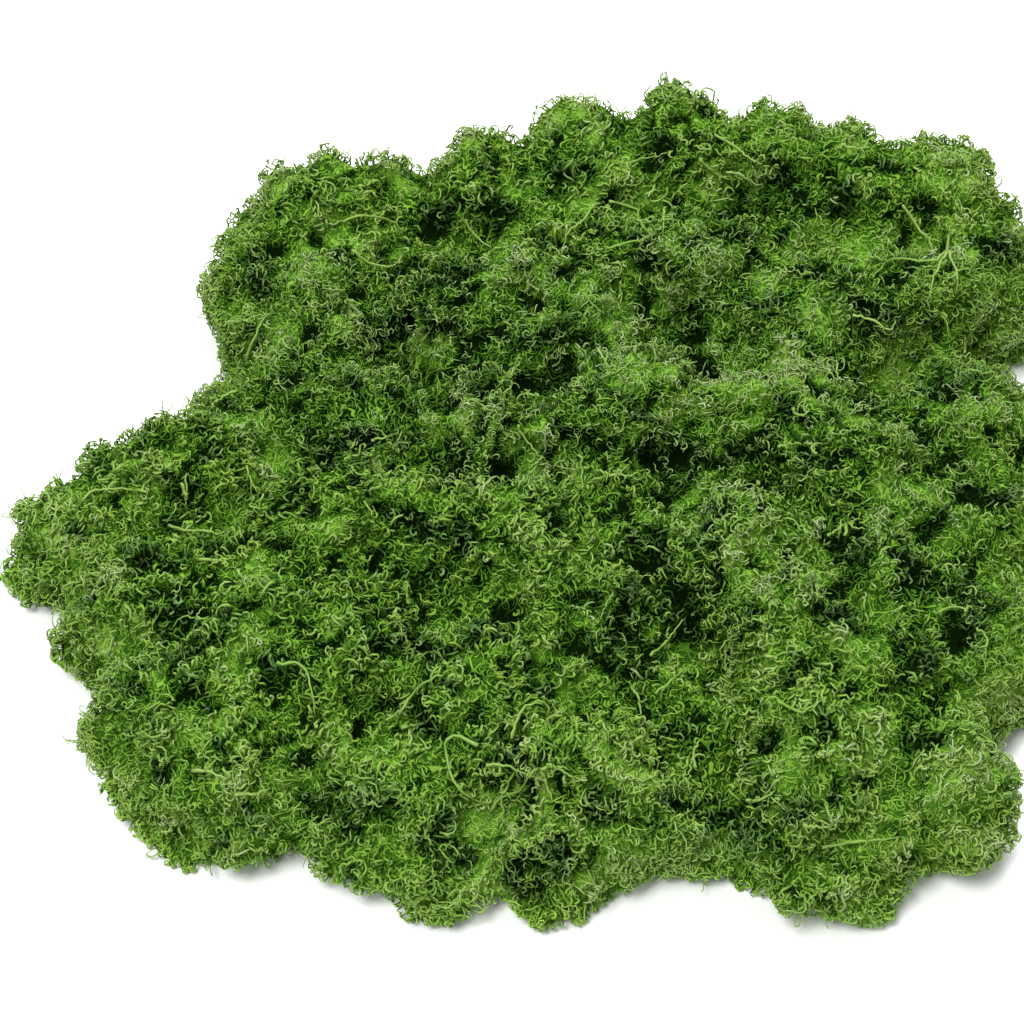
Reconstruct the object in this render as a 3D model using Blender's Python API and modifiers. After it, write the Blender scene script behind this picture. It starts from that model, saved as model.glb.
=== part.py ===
"""Moss clump: one tangled mat of curly moss fibre, spread flat on a surface.

The mat is one closed solid. Its large form is a field of rounded cushions on a
low bed, high along the back edge and low at the front toes, with hollows between
them. Small tufts cover the cushions, and the mat rests on a flat underside.
Units are metres and +Z is up. The origin is the middle of the underside.
"""
import bmesh
import bpy
from mathutils import Matrix, Vector

NAME = "moss_clump"

# Cushions and bed are squashed balls, and this share of their height lies below their middle
CUSHION_MIDDLE = 0.32
BED_MIDDLE = 0.10
BALL_DETAIL = 3

# The bed that joins the cushions: middle x, middle y, half length, half width, top height
BED = {
    "back bed": (0.022, 0.100, 0.128, 0.062, 0.036),
    "middle bed": (0.006, 0.006, 0.150, 0.078, 0.030),
    "front bed": (-0.004, -0.062, 0.122, 0.054, 0.028),
    "right bed": (0.090, -0.040, 0.052, 0.078, 0.030),
    "arm bed": (-0.112, 0.000, 0.048, 0.026, 0.026),
}

# Cushions by place: middle x, middle y, half length, half width, top height
CUSHIONS = {
    "back left crown": (-0.070, 0.123, 0.032, 0.033, 0.052),
    "back left shoulder": (-0.087, 0.102, 0.024, 0.034, 0.043),
    "back left corner": (-0.087, 0.130, 0.017, 0.020, 0.041),
    "back left rim": (-0.052, 0.134, 0.020, 0.022, 0.045),
    "back saddle": (-0.012, 0.136, 0.028, 0.030, 0.054),
    "back peak left": (0.016, 0.144, 0.026, 0.033, 0.059),
    "back peak middle": (0.052, 0.146, 0.028, 0.036, 0.064),
    "back peak right": (0.082, 0.142, 0.022, 0.036, 0.061),
    "back ridge right": (0.112, 0.134, 0.022, 0.034, 0.058),
    "back shoulder right": (0.139, 0.129, 0.026, 0.032, 0.056),
    "back corner right": (0.156, 0.108, 0.020, 0.030, 0.048),
    "second row left": (-0.074, 0.072, 0.030, 0.028, 0.044),
    "second row middle left": (-0.024, 0.084, 0.034, 0.026, 0.045),
    "second row middle": (0.014, 0.100, 0.028, 0.026, 0.053),
    "second row peak": (0.054, 0.098, 0.030, 0.024, 0.057),
    "second row right": (0.090, 0.082, 0.032, 0.028, 0.048),
    "second row far right": (0.130, 0.090, 0.029, 0.024, 0.054),
    "third row left": (-0.088, 0.040, 0.028, 0.024, 0.037),
    "third row middle left": (-0.056, 0.042, 0.028, 0.028, 0.040),
    "third row middle": (-0.010, 0.032, 0.034, 0.028, 0.044),
    "third row back": (0.014, 0.064, 0.030, 0.022, 0.045),
    "third row ridge left": (0.036, 0.040, 0.030, 0.026, 0.049),
    "third row ridge right": (0.082, 0.034, 0.032, 0.025, 0.051),
    "third row knoll": (0.102, 0.008, 0.026, 0.024, 0.050),
    "right shoulder back": (0.140, 0.036, 0.032, 0.028, 0.045),
    "right shoulder": (0.142, -0.004, 0.028, 0.032, 0.043),
    "left arm tip": (-0.144, -0.005, 0.022, 0.021, 0.030),
    "left arm back": (-0.130, 0.010, 0.026, 0.022, 0.036),
    "left arm root": (-0.106, 0.020, 0.026, 0.024, 0.039),
    "left arm front": (-0.119, -0.033, 0.026, 0.028, 0.040),
    "front left ridge": (-0.086, -0.042, 0.025, 0.038, 0.048),
    "front left lobe": (-0.104, -0.076, 0.027, 0.030, 0.044),
    "front left toe": (-0.086, -0.094, 0.029, 0.023, 0.037),
    "front left corner": (-0.102, -0.100, 0.013, 0.012, 0.018),
    "front left crown": (-0.056, -0.004, 0.032, 0.022, 0.048),
    "front middle left": (-0.052, -0.058, 0.025, 0.036, 0.047),
    "front middle crown": (-0.006, -0.018, 0.030, 0.025, 0.052),
    "front middle knoll": (0.018, -0.044, 0.022, 0.026, 0.044),
    "front middle": (-0.012, -0.072, 0.032, 0.030, 0.047),
    "front middle brow": (0.012, -0.096, 0.030, 0.024, 0.046),
    "front toe left": (-0.044, -0.104, 0.021, 0.023, 0.034),
    "front toe middle left": (-0.028, -0.114, 0.018, 0.020, 0.030),
    "front toe middle": (0.008, -0.114, 0.022, 0.021, 0.032),
    "front toe right": (0.034, -0.106, 0.021, 0.020, 0.035),
    "front right crown": (0.062, -0.022, 0.028, 0.024, 0.054),
    "front right ridge back": (0.074, -0.054, 0.024, 0.028, 0.056),
    "front right ridge front": (0.082, -0.084, 0.027, 0.030, 0.053),
    "front right toe": (0.083, -0.111, 0.031, 0.025, 0.040),
    "right lobe back": (0.106, -0.026, 0.022, 0.022, 0.046),
    "right lobe middle": (0.110, -0.064, 0.022, 0.026, 0.044),
    "right lobe front": (0.114, -0.096, 0.025, 0.027, 0.041),
    "right edge": (0.130, -0.046, 0.024, 0.030, 0.042),
}

# Small tufts on the skin: their spacing and how far they stand out
TUFT_SPACING = 0.016
TUFT_HEIGHT = 0.011
TUFT_CONTRAST = 1.6
CURL_SPACING = 0.009
CURL_HEIGHT = 0.006

# Sizes of the mesh steps
FUSE_VOXEL = 0.0035
SKIN_VOXEL = 0.0025
KEPT_SHARE = 0.104
RIM_MERGE = 0.0003
FLOOR_SIZE = 0.60
FLOOR_DEPTH = 0.040

MOSS_GREEN = (0.10, 0.22, 0.03, 1.0)
MOSS_ROUGHNESS = 0.95


def clear_scene():
    """Remove every object, so that the model starts from nothing."""
    for item in list(bpy.data.objects):
        bpy.data.objects.remove(item, do_unlink=True)


def collection(name):
    """Make one collection in the scene."""
    group = bpy.data.collections.new(name)
    bpy.context.scene.collection.children.link(group)
    return group


def add_object(name, form, group):
    """Put a worked-out form in the scene as one object."""
    mesh = bpy.data.meshes.new(name)
    form.to_mesh(mesh)
    form.free()
    item = bpy.data.objects.new(name, mesh)
    group.objects.link(item)
    return item


def moss_material():
    """Matt green of moss fibre."""
    material = bpy.data.materials.new("moss_fibre")
    material.use_nodes = True
    shader = material.node_tree.nodes["Principled BSDF"]
    shader.inputs["Base Color"].default_value = MOSS_GREEN
    shader.inputs["Roughness"].default_value = MOSS_ROUGHNESS
    shader.inputs["Metallic"].default_value = 0.0
    return material


def add_balls(form, balls, middle_share):
    """Put squashed balls in the form, each with its middle at a share of its height."""
    for x, y, half_length, half_width, top in balls:
        middle = top * middle_share
        size = Matrix.Diagonal((half_length, half_width, top - middle, 1.0))
        place = Matrix.Translation((x, y, middle))
        bmesh.ops.create_icosphere(
            form, subdivisions=BALL_DETAIL, radius=1.0, matrix=place @ size)


def cushion_field(group):
    """Bed and cushions in one object, still overlapping."""
    form = bmesh.new()
    add_balls(form, BED.values(), BED_MIDDLE)
    add_balls(form, CUSHIONS.values(), CUSHION_MIDDLE)
    return add_object("cushion_field", form, group)


def floor_block(group):
    """A block below the surface that the mat rests on; it cuts the underside flat."""
    form = bmesh.new()
    size = Matrix.Diagonal((FLOOR_SIZE, FLOOR_SIZE, FLOOR_DEPTH, 1.0))
    place = Matrix.Translation((0.0, 0.0, -FLOOR_DEPTH / 2))
    bmesh.ops.create_cube(form, size=1.0, matrix=place @ size)
    block = add_object("floor_block", form, group)
    block.hide_render = True
    block.display_type = "WIRE"
    return block


def add_remesh(item, name, voxel):
    """Fuse what overlaps into one skin."""
    step = item.modifiers.new(name, "REMESH")
    step.mode = "VOXEL"
    step.voxel_size = voxel


def add_tufts(item, name, pattern, height):
    """Raise small lumps on the skin from a solid pattern."""
    step = item.modifiers.new(name, "DISPLACE")
    step.texture = pattern
    step.texture_coords = "LOCAL"
    step.strength = height
    step.mid_level = 0.5


def tuft_pattern():
    """Round cells: low in the seams between them, high in their middles."""
    pattern = bpy.data.textures.new("tufts", "VORONOI")
    pattern.distance_metric = "DISTANCE_SQUARED"
    pattern.noise_scale = TUFT_SPACING
    pattern.noise_intensity = TUFT_CONTRAST
    return pattern


def curl_pattern():
    """Soft irregular clouds."""
    pattern = bpy.data.textures.new("curls", "CLOUDS")
    pattern.noise_scale = CURL_SPACING
    pattern.noise_depth = 1
    return pattern


def add_thinning(item, share):
    """Keep only this share of the triangles."""
    step = item.modifiers.new("thin", "DECIMATE")
    step.ratio = share
    step.use_collapse_triangulate = True


def add_cut(item, cutter):
    """Cut away what lies below the surface."""
    step = item.modifiers.new("underside", "BOOLEAN")
    step.operation = "DIFFERENCE"
    step.solver = "EXACT"
    step.object = cutter


def evaluated_form(item):
    """The form of an object with its modifiers worked out."""
    graph = bpy.context.evaluated_depsgraph_get()
    mesh = bpy.data.meshes.new_from_object(item.evaluated_get(graph))
    form = bmesh.new()
    form.from_mesh(mesh)
    bpy.data.meshes.remove(mesh)
    return form


def clean_rim(form):
    """Merge the crowded points that the cut leaves along the underside's rim."""
    rim = [vertex for vertex in form.verts if abs(vertex.co.z) < RIM_MERGE / 100]
    bmesh.ops.remove_doubles(form, verts=rim, dist=RIM_MERGE)
    bmesh.ops.triangulate(form, faces=form.faces)


def centre_on_underside(form):
    """Move the form so that its origin is the middle of its box, on the underside."""
    corners = [vertex.co for vertex in form.verts]
    low = Vector([min(corner[axis] for corner in corners) for axis in range(3)])
    high = Vector([max(corner[axis] for corner in corners) for axis in range(3)])
    middle = (low + high) / 2
    bmesh.ops.translate(form, vec=(-middle.x, -middle.y, -low.z), verts=form.verts)


def main():
    clear_scene()
    part = collection(NAME)
    cutters = collection("cutters")
    block = floor_block(cutters)
    field = cushion_field(cutters)
    add_remesh(field, "fuse", FUSE_VOXEL)
    add_tufts(field, "tufts", tuft_pattern(), -TUFT_HEIGHT)
    add_tufts(field, "curls", curl_pattern(), CURL_HEIGHT)
    add_remesh(field, "skin", SKIN_VOXEL)
    add_thinning(field, KEPT_SHARE)
    add_cut(field, block)
    form = evaluated_form(field)
    clean_rim(form)
    centre_on_underside(form)
    moss = add_object(NAME, form, part)
    moss.data.materials.append(moss_material())
    bpy.data.objects.remove(field, do_unlink=True)


main()
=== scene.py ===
"""Moss clump: dresses the plain solid in a tangle of curly fibre, lights it and frames it.

A felted mat stands inside the solid, near its surface on the crowns and deep in the
hollows. Curled fibres, gathered in small tufts, lie on it and reach the solid's
surface. Pale branching stems cross them, and loose sprigs stand out along the edge.
All sizes are in metres, in the solid's own frame.
"""

import math

import bmesh
import bpy
import numpy as np
from bpy.props import FloatProperty, FloatVectorProperty, IntProperty, PointerProperty
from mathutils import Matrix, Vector, kdtree, noise
from mathutils.bvhtree import BVHTree


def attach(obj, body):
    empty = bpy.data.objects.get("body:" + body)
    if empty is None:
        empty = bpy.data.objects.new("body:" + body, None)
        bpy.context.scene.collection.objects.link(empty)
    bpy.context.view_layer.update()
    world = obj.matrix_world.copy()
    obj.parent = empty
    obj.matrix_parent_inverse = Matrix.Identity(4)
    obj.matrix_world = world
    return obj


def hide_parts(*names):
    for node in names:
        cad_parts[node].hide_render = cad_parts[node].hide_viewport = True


bl_info = {
    "name": "Moss clump",
    "version": (1, 0, 0),
    "blender": (4, 5, 0),
    "location": "View3D > Sidebar > Moss",
    "description": "Grows a clump of curly moss fibre on a plain solid and sets its stage",
    "category": "Object",
}

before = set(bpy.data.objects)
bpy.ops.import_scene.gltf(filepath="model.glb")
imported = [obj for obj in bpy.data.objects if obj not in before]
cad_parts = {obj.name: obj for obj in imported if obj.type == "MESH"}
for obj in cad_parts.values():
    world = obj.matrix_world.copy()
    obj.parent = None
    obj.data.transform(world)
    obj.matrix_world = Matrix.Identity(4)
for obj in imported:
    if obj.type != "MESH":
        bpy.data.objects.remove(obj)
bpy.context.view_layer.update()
SOLID = "moss_clump"
BODY = "root"
SEED = 4127

# The photo's frame, through which marked places are found on the moss
IMAGE_WIDTH = 1024
IMAGE_HEIGHT = 1012
SENSOR_WIDTH = 36.0
LOOK_AT = Vector((-0.0108, -0.0237, 0.028))

# Flattens a place to its position seen from above
PLAN = np.array((1.0, 1.0, 0.0))

# A little above the flat underside: skin below this height carries no fibre
UNDERSIDE = 0.0012

# Hollows, where the mat sinks and the felt and fibre are darkened and faded as painted shade: pixel across,
# pixel down and radius in metres
HOLLOWS = {
    "back edge": [
        (565, 170, 0.0080), (495, 213, 0.0075), (432, 220, 0.0062), (655, 142, 0.0062), (786, 182, 0.0070),
        (632, 226, 0.0048), (698, 232, 0.0056), (412, 256, 0.0048), (838, 206, 0.0062), (920, 206, 0.0052),
        (1006, 238, 0.0100), (250, 280, 0.0065), (747, 226, 0.0045), (450, 265, 0.0062), (692, 130, 0.0040),
        (879, 150, 0.0055), (340, 166, 0.0052), (344, 246, 0.0046), (644, 156, 0.0054),
    ],
    "second row": [
        (390, 326, 0.0060), (550, 325, 0.0088), (606, 338, 0.0062), (560, 368, 0.0048), (690, 335, 0.0075),
        (704, 362, 0.0032), (874, 318, 0.0066), (942, 372, 0.0095), (872, 388, 0.0062), (640, 402, 0.0055),
        (532, 375, 0.0055), (485, 370, 0.0078), (452, 328, 0.0046), (468, 352, 0.0058), (354, 368, 0.0068),
        (892, 330, 0.0068), (772, 288, 0.0046), (245, 335, 0.0055), (448, 382, 0.0068),
    ],
    "third row": [
        (322, 448, 0.0070), (446, 472, 0.0068), (512, 468, 0.0046), (682, 458, 0.0075), (754, 442, 0.0055),
        (726, 448, 0.0058), (948, 458, 0.0056), (968, 484, 0.0060), (926, 424, 0.0052), (1000, 484, 0.0070),
        (276, 492, 0.0072), (360, 442, 0.0060), (215, 440, 0.0058), (700, 518, 0.0075), (545, 476, 0.0062),
    ],
    "left arm": [
        (177, 488, 0.0062), (165, 545, 0.0062), (212, 540, 0.0062), (78, 592, 0.0074), (132, 654, 0.0038),
        (172, 642, 0.0050), (130, 684, 0.0048), (150, 774, 0.0042), (190, 682, 0.0060), (272, 672, 0.0055),
        (74, 520, 0.0050), (232, 526, 0.0056), (134, 540, 0.0060), (220, 600, 0.0062), (140, 714, 0.0050),
        (250, 812, 0.0048), (213, 848, 0.0040), (96, 668, 0.0045), (172, 582, 0.0052), (344, 834, 0.0050),
    ],
    "front": [
        (412, 520, 0.0055), (458, 532, 0.0070), (416, 574, 0.0056), (392, 630, 0.0075), (426, 636, 0.0075),
        (420, 722, 0.0060), (300, 756, 0.0040), (374, 797, 0.0092), (456, 838, 0.0098), (552, 688, 0.0050),
        (554, 868, 0.0098), (516, 780, 0.0035), (636, 640, 0.0092), (682, 730, 0.0050), (735, 826, 0.0085),
        (752, 792, 0.0048), (560, 520, 0.0050), (478, 608, 0.0088), (515, 890, 0.0055), (680, 790, 0.0050),
        (602, 814, 0.0058), (716, 824, 0.0055), (700, 804, 0.0048), (752, 843, 0.0060), (328, 812, 0.0045),
        (582, 634, 0.0062), (503, 748, 0.0058), (404, 706, 0.0048), (312, 800, 0.0060), (358, 574, 0.0055),
    ],
    "centre": [
        (640, 545, 0.0080), (640, 590, 0.0070), (674, 612, 0.0060),
    ],
    "right": [
        (838, 530, 0.0055), (838, 584, 0.0042), (798, 650, 0.0042), (852, 604, 0.0062), (964, 613, 0.0098),
        (996, 584, 0.0085), (828, 726, 0.0050), (818, 664, 0.0045), (905, 545, 0.0045), (790, 815, 0.0085),
        (835, 802, 0.0058), (782, 560, 0.0045), (862, 544, 0.0062), (920, 570, 0.0058), (916, 660, 0.0062),
    ],
}

# Crowns, where the fibre is dense and the felt and fibre are lightened as painted light: pixel across,
# pixel down and radius in metres
CROWNS = {
    "back edge": [
        (318, 262, 0.0100), (275, 180, 0.0060), (395, 165, 0.0060), (552, 116, 0.0055), (612, 192, 0.0115),
        (624, 178, 0.0066), (560, 228, 0.0070), (700, 100, 0.0060), (505, 262, 0.0065), (815, 240, 0.0085),
        (870, 184, 0.0062), (948, 245, 0.0110), (850, 134, 0.0052), (382, 240, 0.0074), (414, 168, 0.0058),
        (940, 216, 0.0046), (984, 176, 0.0062), (1012, 348, 0.0070), (700, 225, 0.0060), (940, 150, 0.0060),
        (714, 177, 0.0068), (756, 180, 0.0060), (862, 246, 0.0062), (724, 246, 0.0055), (655, 243, 0.0045),
        (600, 125, 0.0060), (512, 184, 0.0062), (952, 183, 0.0060), (332, 227, 0.0060), (262, 346, 0.0046),
        (475, 131, 0.0058), (575, 100, 0.0060), (664, 88, 0.0060), (856, 119, 0.0048), (960, 150, 0.0055),
    ],
    "second row": [
        (620, 362, 0.0095), (670, 362, 0.0070), (748, 372, 0.0095), (795, 370, 0.0070), (455, 414, 0.0058),
        (500, 418, 0.0060), (285, 325, 0.0060), (410, 340, 0.0045), (540, 275, 0.0065), (770, 275, 0.0045),
        (575, 286, 0.0058), (620, 314, 0.0085), (825, 312, 0.0070), (830, 368, 0.0068), (716, 378, 0.0055),
        (582, 361, 0.0050), (672, 300, 0.0058), (782, 350, 0.0060), (904, 360, 0.0050), (352, 330, 0.0050),
        (720, 366, 0.0046), (424, 352, 0.0046), (690, 408, 0.0045),
    ],
    "third row": [
        (398, 474, 0.0075), (266, 468, 0.0062), (152, 466, 0.0075), (512, 486, 0.0046), (508, 568, 0.0060),
        (740, 482, 0.0066), (862, 404, 0.0058), (816, 392, 0.0046), (688, 432, 0.0052), (1000, 402, 0.0060),
        (534, 442, 0.0064), (350, 432, 0.0046), (426, 424, 0.0048), (960, 405, 0.0072), (904, 481, 0.0070),
        (938, 512, 0.0080), (800, 432, 0.0055), (690, 478, 0.0050), (640, 436, 0.0045), (815, 536, 0.0055),
    ],
    "left arm": [
        (60, 512, 0.0100), (252, 566, 0.0070), (250, 628, 0.0070), (332, 528, 0.0052), (110, 572, 0.0055),
        (200, 620, 0.0046), (340, 636, 0.0050), (96, 640, 0.0050), (186, 832, 0.0084), (178, 724, 0.0056),
        (240, 782, 0.0048), (238, 672, 0.0058), (250, 742, 0.0042), (225, 714, 0.0058), (120, 482, 0.0060),
    ],
    "front": [
        (420, 742, 0.0044), (388, 750, 0.0075), (480, 812, 0.0066), (520, 722, 0.0070), (566, 702, 0.0068),
        (640, 762, 0.0090), (600, 748, 0.0060), (535, 530, 0.0058), (528, 832, 0.0045), (568, 836, 0.0062),
        (534, 790, 0.0060), (600, 536, 0.0052), (588, 608, 0.0046), (462, 678, 0.0060), (326, 742, 0.0066),
        (482, 730, 0.0042), (665, 806, 0.0050), (738, 746, 0.0064), (772, 738, 0.0056), (655, 870, 0.0060),
        (536, 656, 0.0052), (682, 656, 0.0070), (690, 864, 0.0070), (632, 868, 0.0060), (290, 862, 0.0060),
        (800, 688, 0.0056), (836, 696, 0.0055),
    ],
    "right": [
        (765, 522, 0.0090), (775, 578, 0.0090), (735, 550, 0.0065), (762, 654, 0.0066), (722, 680, 0.0060),
        (872, 722, 0.0060), (782, 768, 0.0055), (846, 756, 0.0056), (862, 650, 0.0050), (955, 772, 0.0090),
        (1000, 694, 0.0075), (880, 520, 0.0050), (846, 640, 0.0062), (800, 600, 0.0060), (878, 602, 0.0042),
        (886, 750, 0.0056), (850, 900, 0.0055), (990, 850, 0.0065), (1014, 700, 0.0065), (914, 524, 0.0046),
        (902, 862, 0.0050),
    ],
}

# Pale stems that lie on the moss, each by the pixels that it passes, from its root
STEMS = [
    [(399, 715), (412, 693), (433, 677), (446, 675)],
    [(477, 746), (456, 735), (445, 746), (452, 779), (470, 797), (489, 812)],
    [(489, 812), (500, 798), (516, 792), (530, 776), (541, 770)],
    [(541, 772), (546, 782), (548, 800)],
    [(485, 766), (500, 765), (513, 768), (526, 775), (541, 770)],
    [(541, 770), (553, 768), (566, 773), (575, 783)],
    [(510, 738), (516, 722), (524, 706), (540, 702), (560, 706)],
    [(715, 134), (736, 148), (749, 159), (762, 167)],
    [(610, 201), (633, 208), (642, 225), (649, 235)],
    [(604, 203), (586, 217), (570, 230), (563, 252)],
    [(607, 247), (625, 243), (645, 238), (655, 230)],
    [(664, 207), (663, 232)],
    [(726, 172), (743, 176), (752, 186)],
    [(700, 160), (720, 176), (738, 180)],
    [(597, 348), (602, 356), (607, 364)],
    [(517, 425), (531, 447), (552, 466)],
    [(591, 480), (613, 475), (643, 477)],
    [(595, 470), (612, 474), (628, 466)],
    [(937, 613), (944, 609), (957, 607), (964, 611), (960, 616)],
    [(845, 534), (846, 522), (854, 527), (866, 526)],
    [(828, 535), (838, 528), (843, 521)],
    [(343, 222), (360, 216), (378, 217), (396, 222), (404, 230)],
    [(352, 250), (370, 262), (392, 266), (404, 250)],
    [(80, 500), (96, 489), (118, 489), (135, 491), (146, 500)],
    [(277, 664), (300, 665), (310, 690), (312, 719)],
    [(823, 848), (850, 843), (878, 840), (902, 836)],
    [(803, 826), (822, 828), (845, 824)],
    [(948, 235), (940, 255), (915, 260), (886, 260), (872, 274)],
    [(948, 250), (956, 270), (958, 297)],
    [(948, 250), (936, 272), (927, 301)],
    [(902, 205), (925, 236), (940, 240)],
    [(650, 655), (668, 640), (684, 618)],
    [(654, 694), (672, 680), (682, 668)],
    [(776, 700), (800, 712), (822, 700)],
    [(696, 768), (694, 750), (702, 740)],
    [(745, 800), (760, 800), (775, 790)],
    [(180, 484), (187, 497), (184, 470)],
    [(192, 770), (212, 772), (228, 780)],
    [(235, 795), (255, 794), (276, 788)],
    [(168, 525), (196, 530), (225, 528)],
    [(200, 558), (222, 560), (235, 552)],
    [(777, 447), (790, 444), (800, 441)],
    [(853, 316), (870, 320), (890, 330), (896, 322)],
    [(245, 360), (262, 322), (268, 312)],
    [(226, 322), (246, 320), (262, 312)],
]

# Soft noise on the moss: the size of a spot, and a shift that sets each pattern apart
NOISE = {
    "zone edge": (0.030, 3.0),
    "patch": (0.012, 9.0),
    "speck": (0.0050, 21.0),
    "ragged": (0.0055, 33.0),
    "lump": (0.0036, 4.0),
}
RAGGEDNESS = 0.45
ZONE_WAVE = 0.010

# Ranges of noise, nearness or height, each from where a thing is absent to where it is whole
PATCH_RANGE = (0.15, 0.50)
SPECK_RANGE = (0.20, -0.15)
PIT_RANGE = (0.14, 0.34)
CROWN_RANGE = (0.15, 0.80)
HOLLOW_RANGE = (0.15, 0.85)
RIM_RANGE = (0.020, 0.004)
FOOT_RANGE = (0.012, 0.004)

# How far a mark's radius spreads, how much of a crown or a hollow a patch or a pit makes,
# and what share of a hollow or a pit is lost to specks, to the rim and to a crown
MARK_SPREAD = 1.5
PATCH_CROWN = 0.60
PATCH_HOLLOW = 0.55
PIT_HOLLOW = 0.90
SPECK_LOSS = 0.40
RIM_PIT_LOSS = 0.5
CROWN_PIT_LOSS = 0.6

# The skin's outer edge lies below this height and is at least this steep
EDGE_HEIGHT = 0.004
EDGE_STEEPNESS = 0.3

# A tuft reaches this share of the tuft size
TUFT_REACH = 0.72

# Lines between the zones of the moss, seen from above; the front line shifts back at the left arm
FRONT_LINE = -0.018
ARM_SHIFT = 0.020
ARM_ROOT = (-0.020, -0.100)
BACK_LINE = 0.080
RIGHT_LINE = 0.078
RIGHT_BACK_LINE = 0.014
MIDDLE_SPLIT = -0.015
FRONT_SPLIT = -0.020

# Where the fibre is thin: ranges along x, y and steepness, and how thin it gets there
THIN_BACK = (0.086, 0.070)
THIN_FRONT = (-0.008, 0.008)
THIN_RIGHT = (0.030, 0.058)
THIN_RIGHT_FRONT = (-0.098, -0.082)
THIN_RIGHT_BACK = (0.020, 0.0)
THIN_SIDE = (0.50, 0.15)
RIGHT_FINENESS = 0.68
SIDE_FINENESS = 0.70
RIM_FINENESS = 0.75

# Pieces of the tangle by zone, with the number of fibres in each
ZONES = {
    "front_left": 6400,
    "front_right": 4900,
    "middle_left": 3700,
    "middle_right": 5700,
    "back": 6100,
    "right": 4400,
}
SEGMENTS = 5
FIBRE_SIDES = 3

# How densely the fibre grows: a base and the weight of each field, and then the share that
# small lumps have in it, the gain at the rim and the loss on the back slope
DENSITY = 1.0, {"gap": -0.45, "hollow": -0.28, "crown": 0.80}
LEAST_DENSITY = 0.50
LUMP_SHARE = 0.65
LUMP_SHARE_RANGE = (-0.45, 0.15)
RIM_GAIN = 0.5
BACK_LOSS = 0.3
BACK_RANGE = (0.4, 0.9)
SAMPLES_TO_A_FIBRE = 3

# Lightness of felt and fibre: a base and the weight of each field, and what varies it. The crown, rim and
# lump weights lighten crowns, the foot of the rim and raised lumps as painted light; the hollow, gap, lump
# and depth weights darken hollows, gaps between tufts, low lumps and deeper fibres as painted shade
FELT_TONE = 0.11, {"crown": 0.21, "hollow": -0.32, "gap": -0.06, "lump": 0.10, "rim": 0.12}
FELT_TONE_LIMIT = 0.5
THIN_FELT_TONE = 0.03
FIBRE_TONE = 0.62, {
    "crown": 0.22, "hollow": -0.36, "gap": -0.15, "depth": -1.0, "lump": 0.15, "thin": 0.08, "rim": 0.06}
# Painted shade on fibres that lie deeper in their tuft, more where the fibre is thin and less on a crown
DEPTH_SHADE = 0.22
THIN_DEPTH_SHADE = 0.26
CROWN_DEPTH_LOSS = 0.6
TONE_JITTER = 0.045
HOLLOW_JITTER = 1.2
# Painted shade towards a fibre's root and painted light towards its tip
ROOT_SHADE_TIP_LIGHT = 0.10
EVEN_TONE_AT = 0.6
PALE_SHARE = 0.07
PALE_TONE = 0.10
PALE_HOLLOW_SHARE = 0.16
PALE_HOLLOW_TONE = 0.14

# How faded felt and fibre are, and how much painted light brightens the foot of the rim instead
FELT_FADE = 0.0, {"hollow": 1.1, "gap": 0.25}
THIN_FADE = 0.38
FADE_JITTER = 0.2
RIM_PAINTED_LIGHT = 0.9
RIM_PAINTED_LIGHT_RANGE = (0.022, 0.004)

# The mat: how far small lumps lift it, and how its vertices are eased
LUMP_RISE = 0.0014
EASE_ROUNDS = 4
EASE_SHARE = 0.6

# How fibres lie or stand on their tuft: the share that lies, then rise and tilt lying and standing
LYING_SHARE = 0.64
LYING_RISE = (-0.15, 0.40)
STANDING_RISE = (0.4, 1.5)
LYING_TILT = 0.60
STANDING_TILT = 6.0
WANDER = 0.8
LEAN = 0.6

# Shares of the kinds of curl, how far they turn at a segment, and how that varies, in radians
CURLS = {"crook": 0.36, "ring": 0.28, "wave": 0.24, "open": 0.12}
TURN_DEGREES = (46.0, 78.0)
TURN_VARIES = (0.70, 1.30)
TURN_JITTER = 0.08
MOST_TURN = 1.35
TWIST = 0.16
LOOP_VARIES = (0.72, 1.30)
STRAIGHT_VARIES = (0.4, 1.2)
FINE_SHORTENING = 0.15

# How far the fibre's tip level, root and end lie from the surface
TIP_LEVEL = 0.0013
LAYER_DROP = 0.0042
LAYER_CURVE = 1.5
RIM_LAYER_LOSS = 0.4
CROWN_LAYER_LOSS = 0.3
LUMP_DROP = 0.0016
LUMP_RANGE = (0.05, 0.45)
HOLLOW_DROP = 0.0036
SIDE_RANGE = (0.70, 0.30)
SIDE_EASE = 0.55
LYING_ROOT_DROP = 0.0026
STANDING_ROOT_DROP = 0.0008
LYING_END_DROP = 0.0009
FLOOR_GAP = 0.0002
RADIUS_VARIES = (0.78, 1.25)
FIBRE_TAPER = 0.40

# Stems: segments, sides, lift from the skin, length, waviness and colour. One or two forks leave each
STEM_SEGMENTS = 13
STEM_SIDES = 4
SHOWN_LIFT = -0.0003
SCATTERED_LIFT = -0.0004
STEM_LENGTH = (0.007, 0.015)
STEM_SHARE = (0.55, 0.95)
FORKS = (1, 3)
FORK_LENGTH = (0.003, 0.006)
FORK_SHARE = 0.7
STEM_BOW = 0.12
STEM_WAVE = 0.16
STEM_TAPER = 0.62
STEM_VARIES = (0.80, 1.20)
STEM_END_DROP = 0.0012
STEM_END = (0.65, 1.0)
STEM_JITTER = 0.00020
STEM_TONE = 0.66
STEM_TONE_VARIES = 0.06
STEM_TONE_JITTER = 0.04
STEM_FADE = 0.3

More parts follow.
